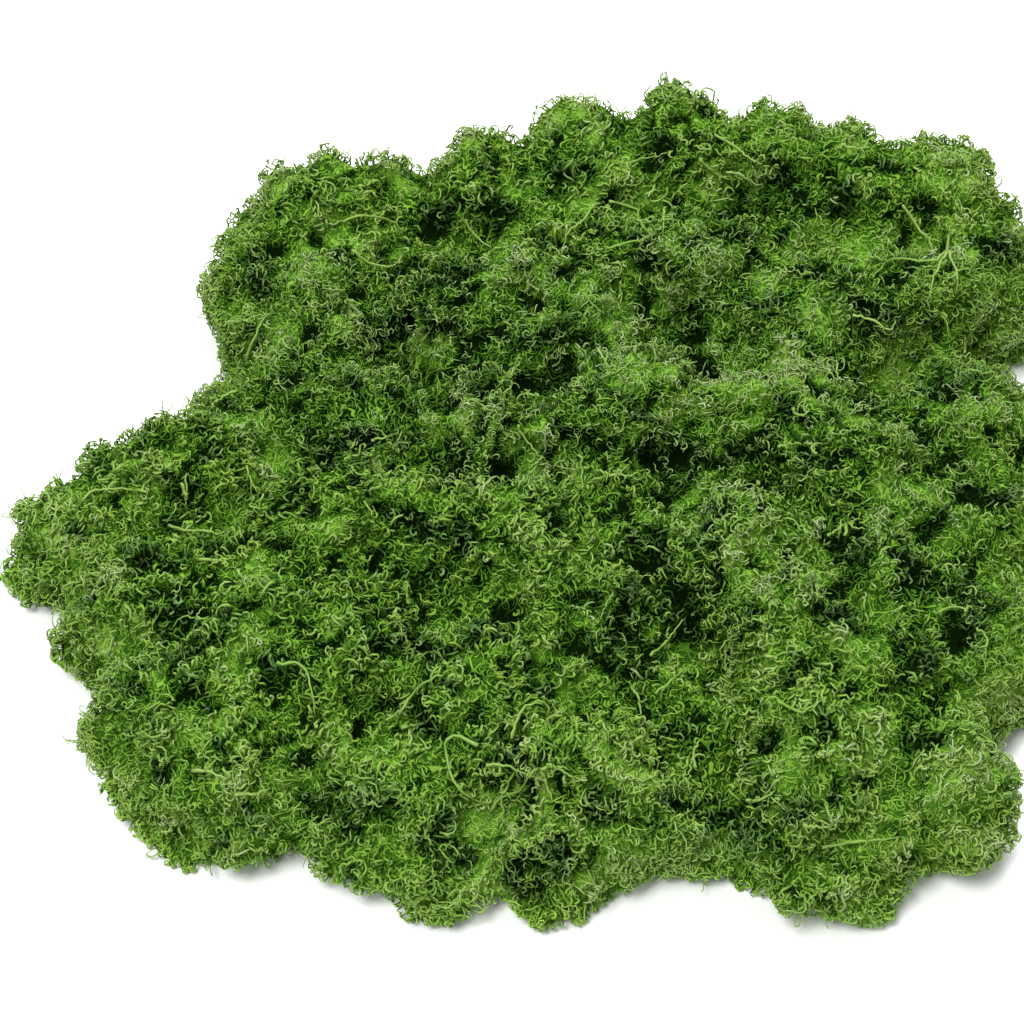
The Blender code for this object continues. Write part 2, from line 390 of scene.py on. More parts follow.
# Sprigs: twigs in one, tried places for one, how deep they root, their sizes and colour, lighter towards
# each tip and brightened as painted light
TWIGS = 3
SPRIG_PLACES = 8
OFF_RIM_SHARE = 0.0001
SPRIG_ROOT = 0.0018
SPRIG_LEAST_HEIGHT = 0.003
SPRIG_SPREAD = 0.60
SPRIG_RISE = (0.0, 0.0, 0.15)
SPRIG_LOOP = (0.0007, 0.0012)
SPRIG_STRAIGHT = 0.0028
SPRIG_RADIUS = (0.00019, 0.00029)
SPRIG_TONE = 0.68
SPRIG_TONE_VARIES = 0.08
# Painted light towards a sprig's tip
SPRIG_TIP_LIGHT = 0.14
# A fade below 0, by which the sprigs are brightened as painted light
SPRIG_PAINTED_LIGHT = -0.3

# Places of the colours along the moss's range of tones
COLOUR_STOPS = {"deep": 0.0, "shade": 0.30, "leaf": 0.56, "light": 0.78, "pale": 1.0}

# The fibre's finish: spots of tone and hue to a metre, and how strong they are
TONE_SPOTS = 70.0
TONE_SPOT_STRENGTH = 0.30
HUE_SPOTS = 38.0
HUE_STRENGTH = 0.025
EVEN_HUE = 0.5 - HUE_STRENGTH / 2
FADED_SATURATION = 0.78
# Painted light: how much a fade below 0 brightens the colour, as at the foot of the rim
PAINTED_LIGHT_GAIN = -0.60
GLOSS = 0.24
GLOSS_RANGE = (0.10, 0.80)
FIBRE_ROUGHNESS = 0.45

# Layers of curls in the felted mat, from the lowest. Each follows a level of a pattern:
# the pattern, the size of its spots, the level, half the width of a line, and its tone, lower layers darker
# as painted shade.
# A line's painted shadow edge and the line itself, lighter in its middle as a painted highlight, start and
# are whole at these shares of that half width
FELT_LAYERS = (
    ("waves", 0.0032, 0.50, 0.055, 0.14),
    ("rings", 0.0027, 0.42, 0.130, 0.18),
    ("waves", 0.0037, 0.47, 0.050, 0.26),
    ("waves", 0.0031, 0.52, 0.050, 0.34),
    ("rings", 0.0025, 0.44, 0.120, 0.40),
    ("waves", 0.0035, 0.50, 0.048, 0.46),
    ("waves", 0.0039, 0.54, 0.045, 0.54),
)
FELT_SHADOW_EDGE = (2.1, 0.8)
FELT_LINE = (1.0, 0.25)
FELT_SHIFT = 0.13
FELT_BREAK = 0.0024
FELT_BREAK_RANGE = (0.40, 0.46)
FELT_WARP_SPOTS = 300.0
FELT_WARP = (0.0015, 0.0015, 0.0015)
FELT_GROUND = 0.0018
FELT_GROUND_TONE = 0.10
# Tone of the painted shadow along the edge of each felt curl
FELT_SHADOW_TONE = -0.06
# Share of the felt's curls left in a hollow; the rest is darkened away as painted shade
FELT_HOLLOW_SHARE = 0.46
# On a crown the felt's curls blend towards a lighter tone, as painted light
FELT_CROWN_SOFTNESS = 0.12
FELT_CROWN_TONE = 0.40
FELT_ROUGHNESS = 0.9

# The floor, and square soft lights that face the clump: place, size and power in watts
FLOOR_HALF_SIZE = 4.0
FLOOR_COLOUR = (0.93, 0.93, 0.93, 1.0)
FLOOR_ROUGHNESS = 0.8
LIGHTS = {
    "key": ((-0.48, -0.65, 1.55), 0.60, 28.0),
    "top": ((0.28, 0.62, 1.55), 0.80, 27.5),
}
WORLD_COLOUR = (1.0, 1.0, 1.0, 1.0)
WORLD_STRENGTH = 0.45


class MossMatSettings(bpy.types.PropertyGroup):
    """The felted mat under the fibres."""

    voxel: FloatProperty(
        name="Mesh size", description="Size of the mat's mesh", default=0.0029, min=0.001, unit="LENGTH")
    depth: FloatProperty(
        name="Depth", description="How far the mat lies under the tips of the fibres",
        default=0.0022, min=0.0, unit="LENGTH")
    gap_depth: FloatProperty(
        name="Gap depth", description="How much deeper the mat lies between two tufts",
        default=0.0034, min=0.0, unit="LENGTH")
    hollow_depth: FloatProperty(
        name="Hollow depth", description="How much deeper the mat lies in a hollow",
        default=0.0058, min=0.0, unit="LENGTH")
    rim_depth: FloatProperty(
        name="Rim depth", description="How far the mat draws in along the floor",
        default=0.0030, min=0.0, unit="LENGTH")
    crown_rise: FloatProperty(
        name="Crown rise", description="How much nearer the surface the mat lies on a crown",
        default=0.0010, min=0.0, unit="LENGTH")


class MossFibreSettings(bpy.types.PropertyGroup):
    """Sizes of the curled fibres and of the tufts that they form."""

    coarse_radius: FloatProperty(
        name="Coarse fibre radius", description="Radius of the thick fibres at the front and back",
        default=0.00041, min=0.0001, unit="LENGTH")
    fine_radius: FloatProperty(
        name="Fine fibre radius", description="Radius of the thin fibres in the middle and on the right",
        default=0.00027, min=0.0001, unit="LENGTH")
    coarse_loop: FloatProperty(
        name="Coarse loop radius", description="Radius of the curls of the thick fibres",
        default=0.00084, min=0.0002, unit="LENGTH")
    fine_loop: FloatProperty(
        name="Fine loop radius", description="Radius of the curls of the thin fibres",
        default=0.00078, min=0.0002, unit="LENGTH")
    straight: FloatProperty(
        name="Straight run", description="Length of a fibre before it curls",
        default=0.0018, min=0.0, unit="LENGTH")
    tuft_size: FloatProperty(
        name="Tuft size", description="Distance between the middles of neighbouring tufts",
        default=0.0095, min=0.002, unit="LENGTH")
    tuft_drop: FloatProperty(
        name="Tuft drop", description="How far a tuft's edge lies below its middle",
        default=0.0036, min=0.0, unit="LENGTH")


class MossStemSettings(bpy.types.PropertyGroup):
    """Pale stems on the moss and loose sprigs along its edge."""

    radius: FloatProperty(
        name="Stem radius", description="Radius of a stem at its root",
        default=0.00058, min=0.0001, unit="LENGTH")
    scattered: IntProperty(
        name="Scattered stems", description="Stems besides those that the photo shows", default=70, min=0)
    sprigs: IntProperty(
        name="Sprigs", description="Loose sprigs along the edge", default=340, min=0)


class MossColourSettings(bpy.types.PropertyGroup):
    """Colours of the fibre, from the deepest hollow to the palest tip."""

    # Deep and shade are reached mostly through the painted shade of hollows, gaps and fibre low in a tuft
    deep: FloatVectorProperty(
        name="Deep", description="Fibre in the hollows", subtype="COLOR",
        size=3, min=0.0, max=1.0, default=(0.002, 0.006, 0.001))
    shade: FloatVectorProperty(
        name="Shade", description="Fibre low in a tuft", subtype="COLOR",
        size=3, min=0.0, max=1.0, default=(0.045, 0.126, 0.010))
    leaf: FloatVectorProperty(
        name="Leaf", description="Most of the fibre", subtype="COLOR",
        size=3, min=0.0, max=1.0, default=(0.148, 0.284, 0.028))
    light: FloatVectorProperty(
        name="Light", description="Fibre at the top of a tuft", subtype="COLOR",
        size=3, min=0.0, max=1.0, default=(0.202, 0.328, 0.058))
    pale: FloatVectorProperty(
        name="Pale", description="Palest tips and stems", subtype="COLOR",
        size=3, min=0.0, max=1.0, default=(0.284, 0.372, 0.165))


class MossStageSettings(bpy.types.PropertyGroup):
    """The camera that looks down on the moss."""

    elevation: FloatProperty(
        name="Camera elevation", description="How steeply the camera looks down",
        default=math.radians(50.0), subtype="ANGLE")
    distance: FloatProperty(
        name="Camera distance", description="From the camera to what it looks at",
        default=0.75, min=0.1, unit="LENGTH")
    lens: FloatProperty(
        name="Lens", description="Focal length", default=85.0, min=10.0, unit="CAMERA")


def smooth_step(low, high, value):
    """0 at low, 1 at high, and a smooth rise between them."""
    part = np.clip((value - low) / (high - low), 0.0, 1.0)
    return part * part * (3.0 - 2.0 * part)


def unit(vectors):
    """Vectors scaled to length 1."""
    return vectors / np.maximum(np.linalg.norm(vectors, axis=-1, keepdims=True), 1e-12)


def across(vectors, axes):
    """Vectors without their share along unit axes."""
    return vectors - axes * np.sum(vectors * axes, axis=-1, keepdims=True)


def turned(vectors, axes, angles):
    """Vectors turned about unit axes by angles."""
    cos = np.cos(angles)[:, None]
    sin = np.sin(angles)[:, None]
    along = np.sum(vectors * axes, axis=1, keepdims=True) * (1.0 - cos)
    return vectors * cos + np.cross(axes, vectors) * sin + axes * along


def noise_at(points, pattern):
    """Soft noise from -1 to 1 at each point."""
    size, shift = NOISE[pattern]
    shift = Vector((shift, shift * 0.7, shift * 1.3))
    return np.array([noise.noise(Vector(point) / size + shift) for point in points])


def weighed(base_and_weights, fields):
    """A base plus each field times its weight."""
    base, weights = base_and_weights
    return sum((weight * fields[name] for name, weight in weights.items()), start=base)


def finish_piece(piece, material):
    """Give a piece its material and hand it to the frame."""
    piece.data.materials.append(material)
    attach(piece, BODY)
    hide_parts(SOLID)


def new_object(name, content):
    """Put a mesh, a light or a camera in the scene."""
    item = bpy.data.objects.new(name, content)
    bpy.context.scene.collection.objects.link(item)
    return item


def form_of(mesh):
    """A bmesh with the mesh's form."""
    form = bmesh.new()
    form.from_mesh(mesh)
    return form


def keep_form(form, mesh):
    """Put a bmesh's form in the mesh."""
    form.to_mesh(mesh)
    form.free()
    return mesh


def add_attribute(mesh, name, values):
    """Give each vertex of the mesh a number."""
    attribute = mesh.attributes.new(name, "FLOAT", "POINT")
    attribute.data.foreach_set("value", values.astype(np.float32).ravel())


def skin_mesh(voxel):
    """An even mesh over the solid's surface."""
    form = form_of(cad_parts[SOLID].data)
    bmesh.ops.remove_doubles(form, verts=form.verts, dist=0.00001)
    item = new_object("skin", keep_form(form, bpy.data.meshes.new("skin")))
    remesh = item.modifiers.new("even", "REMESH")
    remesh.mode = "VOXEL"
    remesh.voxel_size = voxel
    smooth = item.modifiers.new("soften", "SMOOTH")
    smooth.factor = 0.5
    smooth.iterations = 2
    graph = bpy.context.evaluated_depsgraph_get()
    even = bpy.data.meshes.new_from_object(item.evaluated_get(graph))
    bpy.data.objects.remove(item, do_unlink=True)
    return even


def mesh_points(mesh):
    """Vertex places and vertex normals as arrays."""
    places = np.empty(len(mesh.vertices) * 3)
    normals = np.empty(len(mesh.vertices) * 3)
    mesh.vertices.foreach_get("co", places)
    mesh.vertex_normals.foreach_get("vector", normals)
    return places.reshape(-1, 3), unit(normals.reshape(-1, 3))


def eased(mesh, field):
    """A vector for each vertex, blended with its neighbours' for a few rounds."""
    ends = np.empty(len(mesh.edges) * 2, dtype=np.int32)
    mesh.edges.foreach_get("vertices", ends)
    first, second = ends.reshape(-1, 2).T
    links = np.bincount(ends, minlength=len(field))[:, None]
    for _ in range(EASE_ROUNDS):
        total = np.zeros_like(field)
        np.add.at(total, first, field[second])
        np.add.at(total, second, field[first])
        field = (1.0 - EASE_SHARE) * field + EASE_SHARE * total / links
    return field


def open_underside(mesh):
    """Take away the flat underside, so that the rim can be drawn in freely."""
    form = form_of(mesh)
    flat = [face for face in form.faces if all(vertex.co.z < UNDERSIDE for vertex in face.verts)]
    bmesh.ops.delete(form, geom=flat, context="FACES")
    keep_form(form, mesh)


def close_underside(mesh):
    """Lay the open rim on the floor and close it with one flat underside."""
    form = form_of(mesh)
    rim = [edge for edge in form.edges if edge.is_boundary]
    for vertex in {vertex for edge in rim for vertex in edge.verts}:
        vertex.co.z = 0.0
    bmesh.ops.triangle_fill(form, edges=rim, use_beauty=True, normal=(0.0, 0.0, -1.0))
    bmesh.ops.recalc_face_normals(form, faces=form.faces)
    keep_form(form, mesh)


def mesh_tree(mesh):
    """The mesh's surface, ready to be searched."""
    return BVHTree.FromPolygons(
        [vertex.co for vertex in mesh.vertices], [face.vertices for face in mesh.polygons])


def camera_axes(stage):
    """The camera's backward and upward directions."""
    back = Vector((0.0, -math.cos(stage.elevation), math.sin(stage.elevation)))
    up = Vector((0.0, math.sin(stage.elevation), math.cos(stage.elevation)))
    return back, up


def seen_place(tree, stage, x, y):
    """The place on the surface that a pixel of the photo shows, or None."""
    back, up = camera_axes(stage)
    step = SENSOR_WIDTH / stage.lens / IMAGE_WIDTH
    right = Vector((1.0, 0.0, 0.0))
    sight = right * ((x - IMAGE_WIDTH / 2) * step) + up * ((IMAGE_HEIGHT / 2 - y) * step) - back
    return tree.ray_cast(LOOK_AT + back * stage.distance, sight)[0]


def marked_places(tree, stage, marks):
    """Places and radii of the marks that fall on the surface."""
    found = []
    for x, y, radius in (mark for row in marks.values() for mark in row):
        place = seen_place(tree, stage, x, y)
        if place:
            found.append((*place, radius))
    found = np.array(found)
    return found[:, :3], found[:, 3]


def nearness(places, middles, radii):
    """From 0, far from all middles, to 1, at one of them."""
    best = np.zeros(len(places))
    for middle, radius in zip(middles, radii):
        gap = np.sum((places - middle) ** 2, axis=1)
        best = np.maximum(best, np.exp(-gap / (MARK_SPREAD * radius * radius)))
    return best


def tuft_centres(rng, places, size):
    """One place for each cube of the given size."""
    order = rng.permutation(len(places))
    cubes = np.floor(places[order] / size).astype(int)
    first = np.unique(cubes, axis=0, return_index=True)[1]
    return places[order[first]]


def nearest(points, targets):
    """For each point, the number of the nearest target and how far it is."""
    tree = kdtree.KDTree(len(targets))
    for number, target in enumerate(targets):
        tree.insert(target, number)
    tree.balance()
    found = [tree.find(point)[1:] for point in points]
    return np.array([item[0] for item in found]), np.array([item[1] for item in found])


class Growth:
    """What the pieces share: the skin, its tufts, its hollows and its crowns."""

    def __init__(self, scene):
        self.skin = skin_mesh(scene.moss_mat.voxel)
        self.tree = mesh_tree(self.skin)
        self.tuft_size = scene.moss_fibres.tuft_size
        self.hollows = marked_places(self.tree, scene.moss_stage, HOLLOWS)
        self.crowns = marked_places(self.tree, scene.moss_stage, CROWNS)
        places, normals = mesh_points(self.skin)
        self.tufts = tuft_centres(np.random.default_rng(SEED), places, self.tuft_size)
        steep = np.hypot(normals[:, 0], normals[:, 1]) > EDGE_STEEPNESS
        self.edge = places[(places[:, 2] < EDGE_HEIGHT) & steep] * PLAN

    def rim(self, places):
        """From 1 at the outer edge, seen from above, to 0 well inside it."""
        return smooth_step(*RIM_RANGE, nearest(places * PLAN, self.edge)[1])

    def fields(self, places):
        """At each place: its tuft, how far out in it, the gap beyond, hollow, crown, rim and lump."""
        tuft, distance = nearest(places, self.tufts)
        spread = np.clip(distance / (self.tuft_size * TUFT_REACH), 0.0, 1.0)
        rim = self.rim(places)
        patch = noise_at(places, "patch")
        speck = noise_at(places, "speck")
        ragged = RAGGEDNESS * noise_at(places, "ragged")
        # Crowns, with light patches, also lighten the felt and fibre as painted light
        crown = nearness(places, *self.crowns)
        crown = np.maximum(crown, PATCH_CROWN * smooth_step(*PATCH_RANGE, patch))
        crown = smooth_step(*CROWN_RANGE, crown + ragged)
        # Hollows, dark patches and pits sink the mat and also darken and fade the felt and fibre as painted
        # shade
        hollow = nearness(places, *self.hollows)
        hollow = np.maximum(hollow, PATCH_HOLLOW * smooth_step(*PATCH_RANGE, -patch))
        speckled = 1.0 - SPECK_LOSS + SPECK_LOSS * smooth_step(*SPECK_RANGE, speck)
        hollow = smooth_step(*HOLLOW_RANGE, hollow - ragged) * speckled
        pit = smooth_step(*PIT_RANGE, -speck) * (1.0 - RIM_PIT_LOSS * rim) * (1.0 - CROWN_PIT_LOSS * crown)
        hollow = np.maximum(hollow, PIT_HOLLOW * pit)
        crown *= 1.0 - hollow
        return dict(
            tuft=tuft, spread=spread, gap=spread ** 2, hollow=hollow, crown=crown,
            rim=rim, lump=noise_at(places, "lump"))


def surface_samples(rng, mesh, count):
    """Random points on the mesh, spread evenly by area, with soft normals."""
    mesh.calc_loop_triangles()
    corners = np.empty(len(mesh.loop_triangles) * 3, dtype=np.int32)
    mesh.loop_triangles.foreach_get("vertices", corners)
    corners = corners.reshape(-1, 3)
    places, normals = mesh_points(mesh)
    a, b, c = (places[corners[:, k]] for k in range(3))
    area = np.linalg.norm(np.cross(b - a, c - a), axis=1)
    area[(a[:, 2] < UNDERSIDE) & (b[:, 2] < UNDERSIDE) & (c[:, 2] < UNDERSIDE)] = 0.0
    picked = rng.choice(len(corners), size=count, p=area / area.sum())
    u = rng.random(count)
    v = rng.random(count)
    flip = u + v > 1.0
    u[flip] = 1.0 - u[flip]
    v[flip] = 1.0 - v[flip]
    share = np.stack([1.0 - u - v, u, v], axis=1)[:, :, None]
    chosen = corners[picked]
    return (places[chosen] * share).sum(axis=1), unit((normals[chosen] * share).sum(axis=1))


def strand_template(segments, sides):
    """A straight rod with a closed root and a pointed tip, as places and triangles."""
    form = bmesh.new()
    bmesh.ops.create_circle(form, cap_ends=True, cap_tris=False, segments=sides, radius=1.0)
    rim = list(form.edges)
    for _ in range(segments):
        grown = bmesh.ops.extrude_edge_only(form, edges=rim)["geom"]
        ring = [item for item in grown if isinstance(item, bmesh.types.BMVert)]
        rim = [item for item in grown if isinstance(item, bmesh.types.BMEdge)]
        bmesh.ops.translate(form, vec=(0.0, 0.0, 1.0), verts=ring)
    bmesh.ops.pointmerge(form, verts=ring, merge_co=(0.0, 0.0, float(segments)))
    bmesh.ops.recalc_face_normals(form, faces=form.faces)
    bmesh.ops.triangulate(form, faces=form.faces)
    form.verts.index_update()
    places = np.array([vertex.co[:] for vertex in form.verts])
    faces = np.array([[corner.index for corner in face.verts] for face in form.faces])
    form.free()
    return places, faces


def strands_mesh(name, sides, paths, axes, radii, tones, faded):
    """Join one bent rod for each path in a mesh. A rod's rings turn with its axes."""
    count, rings = paths.shape[:2]
    rod, faces = strand_template(rings - 1, sides)
    ring = np.rint(rod[:, 2]).astype(int)
    heading = unit(np.gradient(paths, axis=1))
    side = unit(np.cross(heading, axes))
    other = np.cross(side, heading)
    width = radii[:, ring, None]
    places = paths[:, ring] + width * rod[None, :, 0, None] * other[:, ring]
    places += width * rod[None, :, 1, None] * side[:, ring]
    corners = (faces[None] + (np.arange(count) * len(rod))[:, None, None]).reshape(-1)
    mesh = bpy.data.meshes.new(name)
    mesh.vertices.add(count * len(rod))
    mesh.vertices.foreach_set("co", places.astype(np.float32).ravel())
    mesh.loops.add(len(corners))
    mesh.loops.foreach_set("vertex_index", corners.astype(np.int32))
    mesh.polygons.add(len(corners) // 3)
    mesh.polygons.foreach_set("loop_start", np.arange(0, len(corners), 3, dtype=np.int32))
    mesh.update(calc_edges=True)
    mesh.validate()
    mesh.shade_smooth()
    add_attribute(mesh, "tone", np.clip(tones[:, ring], 0.0, 1.0))
    add_attribute(mesh, "fade", np.repeat(faded, len(rod)))
    return mesh


def front_line(x):
    """How far back the thick fibre of the front reaches."""
    return FRONT_LINE + ARM_SHIFT * smooth_step(*ARM_ROOT, x)


def fineness_at(places, normals):
    """1 where the fibre is thin, as in the middle and along the edge, and 0 where it is thick."""
    wave = ZONE_WAVE * noise_at(places, "zone edge")
    x = places[:, 0] + wave
    y = places[:, 1] + wave
    middle = smooth_step(*THIN_BACK, y) * smooth_step(*THIN_FRONT, y - front_line(x))
    right = RIGHT_FINENESS * smooth_step(*THIN_RIGHT, x) * smooth_step(*THIN_RIGHT_FRONT, y)
    right = right * smooth_step(*THIN_RIGHT_BACK, y)
    side = SIDE_FINENESS * smooth_step(*THIN_SIDE, normals[:, 2])
    return np.maximum(np.maximum(middle, right), side)


def zone_of(places):
    """The name of the zone that each place belongs to."""
    x = places[:, 0]
    y = places[:, 1]
    zone = np.where(x < MIDDLE_SPLIT, "middle_left", "middle_right")
    zone[y > BACK_LINE] = "back"
    zone[(x > RIGHT_LINE) & (y < RIGHT_BACK_LINE)] = "right"
    front = (y < front_line(x)) & (x <= RIGHT_LINE)
    zone[front & (x < FRONT_SPLIT)] = "front_left"
    zone[front & (x >= FRONT_SPLIT)] = "front_right"
    return zone


def keep_above_floor(paths, radii):
    """Raise each path that would reach below the floor."""
    low = (paths[:, :, 2] - radii).min(axis=1) - FLOOR_GAP
    paths[:, :, 2] -= np.minimum(low, 0.0)[:, None]


def curl_forms():
    """For each kind of curl, the turn and the run at each segment, as shares of a ring's."""
    part = np.linspace(0.0, 1.0, SEGMENTS)
    even = np.ones(SEGMENTS)
    swing = np.where(np.arange(SEGMENTS) // 2 % 2 == 0, 1.0, -1.0)
    tightening = 0.10 + 1.25 * smooth_step(0.0, 0.65, part)
    shortening = 1.75 - 0.95 * smooth_step(0.0, 0.8, part)
    return {
        "crook": (tightening, shortening),
        "ring": (even, even),
        "wave": (0.95 * swing, 1.30 * even),
        "open": (0.45 * even, 1.45 * even),
    }


def curl_plan(rng, loop, straight):
    """How far each fibre turns and runs at each segment."""
    shape = (len(loop), SEGMENTS)
    kind = rng.choice(list(CURLS), size=len(loop), p=list(CURLS.values()))
    turn = np.radians(rng.uniform(*TURN_DEGREES, len(loop)))[:, None]
    ring = 2.0 * loop[:, None] * np.sin(turn / 2)
    bend = np.empty(shape)
    run = np.empty(shape)
    for name, (turns, runs) in curl_forms().items():
        chosen = kind == name
        bend[chosen] = turn[chosen] * turns
        run[chosen] = ring[chosen] * runs
    bend = bend * rng.uniform(*TURN_VARIES, shape) + rng.normal(0.0, TURN_JITTER, shape)
    bend = np.clip(bend, -MOST_TURN, MOST_TURN)
    run[:, 0] = straight * rng.uniform(*STRAIGHT_VARIES, len(loop))
    return bend, run


def bent_paths(heading, axis, bend, run, twist):
    """Paths that run on from the origin and bend about their axes, and the axes along them."""
    count, segments = bend.shape
    paths = np.zeros((count, segments + 1, 3))
    axes = np.zeros((count, segments + 1, 3))
    axes[:, 0] = axis
    for k in range(segments):
        heading = turned(heading, axis, bend[:, k])
        axis = turned(axis, heading, twist)
        paths[:, k + 1] = paths[:, k] + heading * run[:, k, None]
        axes[:, k + 1] = axis
    return paths, axes


def grow_fibres(rng, places, normals, at, middles, settings):
    """Curled fibres whose highest points reach the given places."""
    count = len(places)
    outward = unit(across(places - middles, normals))

    # Lying fibres curl flat on the tuft, and standing ones rise from it and lean outwards at its edge
    lying = rng.random(count) < LYING_SHARE
    wander = unit(across(rng.normal(size=(count, 3)), normals))
    rise = np.where(lying, rng.uniform(*LYING_RISE, count), rng.uniform(*STANDING_RISE, count))
    heading = unit(normals * rise[:, None] + wander * WANDER + outward * at["spread"][:, None] * LEAN)
    tilt = np.where(lying, LYING_TILT, STANDING_TILT)[:, None] * rng.normal(size=(count, 3))
    axis = unit(across(normals * rng.choice((-1.0, 1.0), count)[:, None] + tilt, heading))

    mix = at["fine"] * (settings.fine_loop - settings.coarse_loop)
    loop = (settings.coarse_loop + mix) * rng.uniform(*LOOP_VARIES, count)
    bend, run = curl_plan(rng, loop, settings.straight * (1.0 - FINE_SHORTENING * at["fine"]))
    paths, axes = bent_paths(heading, axis, bend, run, rng.normal(0.0, TWIST, count))

    # The highest point of each fibre goes to its level below the surface
    lift = np.einsum("fkj,fj->fk", paths, normals)
    anchor = paths[np.arange(count), lift.argmax(axis=1)]
    paths[:, 0] -= normals * np.where(lying, LYING_ROOT_DROP, STANDING_ROOT_DROP)[:, None]
    paths[:, -1] -= normals * np.where(lying, LYING_END_DROP, 0.0)[:, None]
    layer = rng.random(count) ** LAYER_CURVE
    layer = layer * (1.0 - RIM_LAYER_LOSS * at["rim"]) * (1.0 - CROWN_LAYER_LOSS * at["crown"])
    level = TIP_LEVEL - settings.tuft_drop * at["gap"] - LAYER_DROP * layer
    level -= LUMP_DROP * smooth_step(*LUMP_RANGE, -at["lump"]) + HOLLOW_DROP * at["hollow"]
    level *= 1.0 - SIDE_EASE * smooth_step(*SIDE_RANGE, normals[:, 2])
    paths += (places - anchor + normals * level[:, None])[:, None]

    radius = settings.coarse_radius + (settings.fine_radius - settings.coarse_radius) * at["fine"]
    radius = radius * rng.uniform(*RADIUS_VARIES, count)
    taper = np.linspace(0.0, 1.0, SEGMENTS + 1)
    radii = radius[:, None] * (1.0 - FIBRE_TAPER * taper[None] ** 3)
    keep_above_floor(paths, radii)
    return paths, axes, radii, *fibre_tones(rng, places, at, layer, taper)


def fibre_tones(rng, places, at, layer, taper):
    """The tone along each fibre, and how faded it is: below 0 it is brightened as painted light, as at the
    foot of the rim.
    """
    count = len(places)
    hollow = at["hollow"]
    thin = at["fine"] * (1.0 - at["rim"])
    # Fibres deeper in their tuft are darkened as painted shade
    depth = (DEPTH_SHADE + THIN_DEPTH_SHADE * thin) * layer * (1.0 - CROWN_DEPTH_LOSS * at["crown"])
    body = weighed(FIBRE_TONE, dict(at, thin=thin, depth=depth))
    body += rng.normal(0.0, TONE_JITTER, count) * (1.0 + HOLLOW_JITTER * hollow)
    pale = rng.random(count) < PALE_SHARE + PALE_HOLLOW_SHARE * hollow
    body += np.where(pale, PALE_TONE + PALE_HOLLOW_TONE * hollow, 0.0)
    # Along each fibre, painted shade at the root and painted light at the tip
    tones = body[:, None] + (taper[None] - EVEN_TONE_AT) * ROOT_SHADE_TIP_LIGHT
    faded = np.clip(hollow + THIN_FADE * thin + rng.normal(0.0, FADE_JITTER, count), 0.0, 1.0)
    # Painted light at the foot of the rim, carried as a fade below 0
    faded -= RIM_PAINTED_LIGHT * at["rim"] * (1.0 - hollow) * smooth_step(*RIM_PAINTED_LIGHT_RANGE, places[:, 2])
    return tones, faded


def curve_through(points, count):
    """Places along a smooth curve through the points, evenly by point number."""
    points = np.asarray(points, dtype=float)
    padded = np.vstack([2 * points[0] - points[1], points, 2 * points[-1] - points[-2]])
    at = np.linspace(0.0, len(points) - 1.0, count)
    part = np.minimum(at.astype(int), len(points) - 2)
    t = (at - part)[:, None]
    a, b, c, d = (padded[part + k] for k in range(4))
    cubic = (3 * b - a - 3 * c + d) * t ** 3
    return 0.5 * (2 * b + (c - a) * t + (2 * a - 5 * b + 4 * c - d) * t ** 2 + cubic)


def on_skin(tree, points, lift):
    """Points moved onto the surface and raised from it, with the surface's normals."""
    found = [tree.find_nearest(Vector(point))[:2] for point in points]
    normals = unit(np.array([normal for _, normal in found]))
    return np.array([place for place, _ in found]) + normals * lift, normals


def shown_stems(growth, stage):
    """Paths and normals of the stems that the photo shows."""
    for route in STEMS:
        seen = [seen_place(growth.tree, stage, x, y) for x, y in route]
        places = [place for place in seen if place]
        if len(places) > 1:
            yield on_skin(growth.tree, curve_through(places, STEM_SEGMENTS + 1), SHOWN_LIFT)


def scattered_stem(rng, growth, place, normal, length):
    """A gently curved path over the surface from one place."""
    heading = unit(across(rng.normal(size=3), normal))
    bow = rng.normal(0.0, STEM_BOW)
    points = [place]
    for _ in range(STEM_SEGMENTS):
        heading = unit(across(heading, normal))
        heading = turned(heading[None], normal[None], np.array([bow + rng.normal(0.0, STEM_WAVE)]))[0]
        onward = points[-1] + heading * length / STEM_SEGMENTS
        step, steps_normal = on_skin(growth.tree, [onward], 0.0)
        points.append(step[0])
        normal = steps_normal[0]
    return on_skin(growth.tree, points, SCATTERED_LIFT)


def stem_paths(rng, growth, stage, settings):
    """All stems and their forks: paths, normals and thickness as a share of the stem radius."""
    stems = [(path, normals, 1.0) for path, normals in shown_stems(growth, stage)]
    for place, normal in zip(*surface_samples(rng, growth.skin, settings.scattered)):
        stem = scattered_stem(rng, growth, place, normal, rng.uniform(*STEM_LENGTH))
        stems.append((*stem, rng.uniform(*STEM_SHARE)))
    forks = []
    for path, normals, share in stems:
        root = rng.integers(STEM_SEGMENTS // 3, STEM_SEGMENTS - 2)
        for _ in range(rng.integers(*FORKS)):
            fork = scattered_stem(rng, growth, path[root], normals[root], rng.uniform(*FORK_LENGTH))
            forks.append((*fork, share * FORK_SHARE))
    return stems + forks


